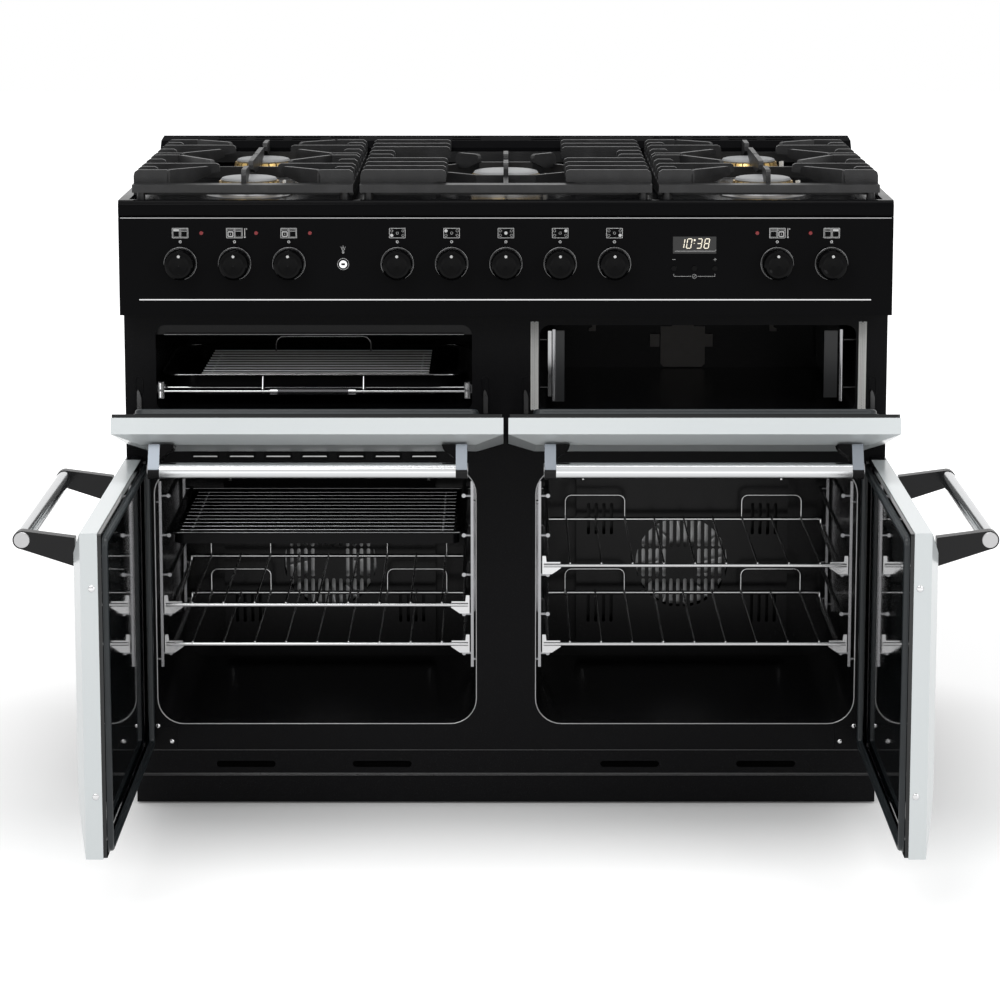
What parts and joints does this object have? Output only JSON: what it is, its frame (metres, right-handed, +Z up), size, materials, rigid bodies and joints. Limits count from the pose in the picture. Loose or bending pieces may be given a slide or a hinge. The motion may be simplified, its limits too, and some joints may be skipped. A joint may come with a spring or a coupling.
{
  "type": "dual fuel range cooker",
  "caption": "Wide freestanding range cooker with gas burners under cast pan supports, side-hinged and drop-down oven doors, wire shelves, a grill pan with a spring grip, and turning knobs.",
  "frame": {"origin": "on the floor, under the middle of the cabinet's footprint", "axes": "+X to the cooker's right as seen from the front, +Y from the control panel to the back, +Z up"},
  "size_m": [1.276, 1.1017, 0.933],
  "materials": {
    "black_enamel": "gloss vitreous enamel",
    "oven_enamel": "speckled gloss enamel",
    "frame_paint": "satin textured paint",
    "door_paint": "gloss powder paint",
    "door_glass": "gloss",
    "handle_black": "satin",
    "wire_chrome": "polished",
    "rack_chrome": "satin",
    "galvanised": "satin",
    "cast_iron": "matt enamel",
    "brass": "satin",
    "cap_grey": "satin enamel",
    "aluminium": "satin",
    "knob_black": "gloss",
    "lens": "translucent",
    "motor": "satin",
    "heater": "matt oxide"
  },
  "bodies": {
    "cabinet": {"cabinet_shell": "frame_paint", "rear_panel": "galvanised", "plinth": "frame_paint", "levelling_feet": "galvanised", "front_frame": "frame_paint", "grill_chamber": "oven_enamel", "slow_oven_chamber": "oven_enamel", "left_oven_chamber": "oven_enamel", "right_oven_chamber": "oven_enamel", "side_racks": "rack_chrome", "fan_covers": "oven_enamel", "heating_elements": "heater", "fan_motors": "motor", "hob_tray": "black_enamel", "burner_bases": "aluminium", "burner_heads": "brass", "burner_caps": "cap_grey", "left_pan_support": "cast_iron", "centre_pan_support": "cast_iron", "right_pan_support": "cast_iron", "control_panel": "black_enamel", "panel_lenses": "lens", "gas_taps_and_switches": "brass", "hinge_brackets": "frame_paint"},
    "left_door": {"left_door_panel": "door_paint", "left_door_liner": "door_glass", "left_door_handle": "handle_black"},
    "right_door": {"right_door_panel": "door_paint", "right_door_liner": "door_glass", "right_door_handle": "handle_black"},
    "grill_door": {"grill_door_panel": "door_paint", "grill_door_liner": "door_glass", "grill_door_handle": "handle_black"},
    "slow_door": {"slow_door_panel": "door_paint", "slow_door_liner": "door_glass", "slow_door_handle": "handle_black"},
    "knob_grill_body": {"knob_grill": "knob_black"},
    "knob_left_temperature_body": {"knob_left_temperature": "knob_black"},
    "knob_left_mode_body": {"knob_left_mode": "knob_black"},
    "knob_burner_left_front_body": {"knob_burner_left_front": "knob_black"},
    "knob_burner_left_rear_body": {"knob_burner_left_rear": "knob_black"},
    "knob_burner_centre_body": {"knob_burner_centre": "knob_black"},
    "knob_burner_right_rear_body": {"knob_burner_right_rear": "knob_black"},
    "knob_burner_right_front_body": {"knob_burner_right_front": "knob_black"},
    "knob_right_temperature_body": {"knob_right_temperature": "knob_black"},
    "knob_slow_oven_body": {"knob_slow_oven": "knob_black"},
    "light_button_body": {"light_button": "knob_black"},
    "clock_button_minus_body": {"clock_button_minus": "knob_black"},
    "clock_button_mode_body": {"clock_button_mode": "knob_black"},
    "clock_button_plus_body": {"clock_button_plus": "knob_black"},
    "left_fan_body": {"left_fan": "aluminium"},
    "right_fan_body": {"right_fan": "aluminium"},
    "left_shelf_upper_body": {"left_shelf_upper": "wire_chrome"},
    "left_shelf_lower_body": {"left_shelf_lower": "wire_chrome"},
    "right_shelf_upper_body": {"right_shelf_upper": "wire_chrome"},
    "right_shelf_lower_body": {"right_shelf_lower": "wire_chrome"},
    "baking_tin_body": {"baking_tin": "oven_enamel"},
    "grill_tray": {"grill_cradle": "wire_chrome", "grill_pan": "black_enamel", "grill_trivet": "wire_chrome"}
  },
  "joints": [
    {"name": "left_door_hinge", "type": "hinge", "parent": "cabinet", "child": "left_door", "pos_m": [-0.5312, -0.274, 0.3], "axis": [0, 0, -1], "range_deg": [-90, 12]},
    {"name": "right_door_hinge", "type": "hinge", "parent": "cabinet", "child": "right_door", "pos_m": [0.5312, -0.274, 0.3], "axis": [0, 0, 1], "range_deg": [-90, 12]},
    {"name": "grill_door_hinge", "type": "hinge", "parent": "cabinet", "child": "grill_door", "pos_m": [-0.275, -0.284, 0.548], "axis": [1, 0, 0], "range_deg": [-76, 0]},
    {"name": "slow_door_hinge", "type": "hinge", "parent": "cabinet", "child": "slow_door", "pos_m": [0.275, -0.284, 0.548], "axis": [1, 0, 0], "range_deg": [-76, 0]},
    {"name": "knob_grill_turn", "type": "hinge", "parent": "cabinet", "child": "knob_grill_body", "pos_m": [-0.459, -0.31, 0.804], "axis": [0, 1, 0], "range_deg": [0, 280]},
    {"name": "knob_left_temperature_turn", "type": "hinge", "parent": "cabinet", "child": "knob_left_temperature_body", "pos_m": [-0.3825, -0.31, 0.804], "axis": [0, 1, 0], "range_deg": [0, 280]},
    {"name": "knob_left_mode_turn", "type": "hinge", "parent": "cabinet", "child": "knob_left_mode_body", "pos_m": [-0.306, -0.31, 0.804], "axis": [0, 1, 0], "range_deg": [0, 280]},
    {"name": "knob_burner_left_front_turn", "type": "hinge", "parent": "cabinet", "child": "knob_burner_left_front_body", "pos_m": [-0.153, -0.31, 0.804], "axis": [0, -1, 0], "range_deg": [0, 210]},
    {"name": "knob_burner_left_rear_turn", "type": "hinge", "parent": "cabinet", "child": "knob_burner_left_rear_body", "pos_m": [-0.0765, -0.31, 0.804], "axis": [0, -1, 0], "range_deg": [0, 210]},
    {"name": "knob_burner_centre_turn", "type": "hinge", "parent": "cabinet", "child": "knob_burner_centre_body", "pos_m": [0, -0.31, 0.804], "axis": [0, -1, 0], "range_deg": [0, 210]},
    {"name": "knob_burner_right_rear_turn", "type": "hinge", "parent": "cabinet", "child": "knob_burner_right_rear_body", "pos_m": [0.0765, -0.31, 0.804], "axis": [0, -1, 0], "range_deg": [0, 210]},
    {"name": "knob_burner_right_front_turn", "type": "hinge", "parent": "cabinet", "child": "knob_burner_right_front_body", "pos_m": [0.153, -0.31, 0.804], "axis": [0, -1, 0], "range_deg": [0, 210]},
    {"name": "knob_right_temperature_turn", "type": "hinge", "parent": "cabinet", "child": "knob_right_temperature_body", "pos_m": [0.3825, -0.31, 0.804], "axis": [0, 1, 0], "range_deg": [0, 280]},
    {"name": "knob_slow_oven_turn", "type": "hinge", "parent": "cabinet", "child": "knob_slow_oven_body", "pos_m": [0.459, -0.31, 0.804], "axis": [0, 1, 0], "range_deg": [0, 280]},
    {"name": "light_button_push", "type": "slide", "parent": "cabinet", "child": "light_button_body", "axis": [0, 1, 0], "range_m": [0, 0.0015], "stiffness_N_per_m": 150},
    {"name": "clock_button_minus_push", "type": "slide", "parent": "cabinet", "child": "clock_button_minus_body", "axis": [0, 1, 0], "range_m": [0, 0.0015], "stiffness_N_per_m": 150},
    {"name": "clock_button_mode_push", "type": "slide", "parent": "cabinet", "child": "clock_button_mode_body", "axis": [0, 1, 0], "range_m": [0, 0.0015], "stiffness_N_per_m": 150},
    {"name": "clock_button_plus_push", "type": "slide", "parent": "cabinet", "child": "clock_button_plus_body", "axis": [0, 1, 0], "range_m": [0, 0.0015], "stiffness_N_per_m": 150},
    {"name": "left_fan_spin", "type": "hinge", "parent": "cabinet", "child": "left_fan_body", "pos_m": [-0.275, 0.155, 0.278], "axis": [0, -1, 0], "continuous": true},
    {"name": "right_fan_spin", "type": "hinge", "parent": "cabinet", "child": "right_fan_body", "pos_m": [0.275, 0.155, 0.278], "axis": [0, -1, 0], "continuous": true},
    {"name": "left_shelf_upper_slide", "type": "slide", "parent": "cabinet", "child": "left_shelf_upper_body", "axis": [0, -1, 0], "range_m": [0, 0.3]},
    {"name": "left_shelf_lower_slide", "type": "slide", "parent": "cabinet", "child": "left_shelf_lower_body", "axis": [0, -1, 0], "range_m": [0, 0.3]},
    {"name": "right_shelf_upper_slide", "type": "slide", "parent": "cabinet", "child": "right_shelf_upper_body", "axis": [0, -1, 0], "range_m": [0, 0.3]},
    {"name": "right_shelf_lower_slide", "type": "slide", "parent": "cabinet", "child": "right_shelf_lower_body", "axis": [0, -1, 0], "range_m": [0, 0.3]},
    {"name": "baking_tin_slide", "type": "slide", "parent": "cabinet", "child": "baking_tin_body", "axis": [0, -1, 0], "range_m": [0, 0.3]},
    {"name": "grill_tray_slide", "type": "slide", "parent": "cabinet", "child": "grill_tray", "axis": [0, -1, 0], "range_m": [0, 0.13]}
  ]
}
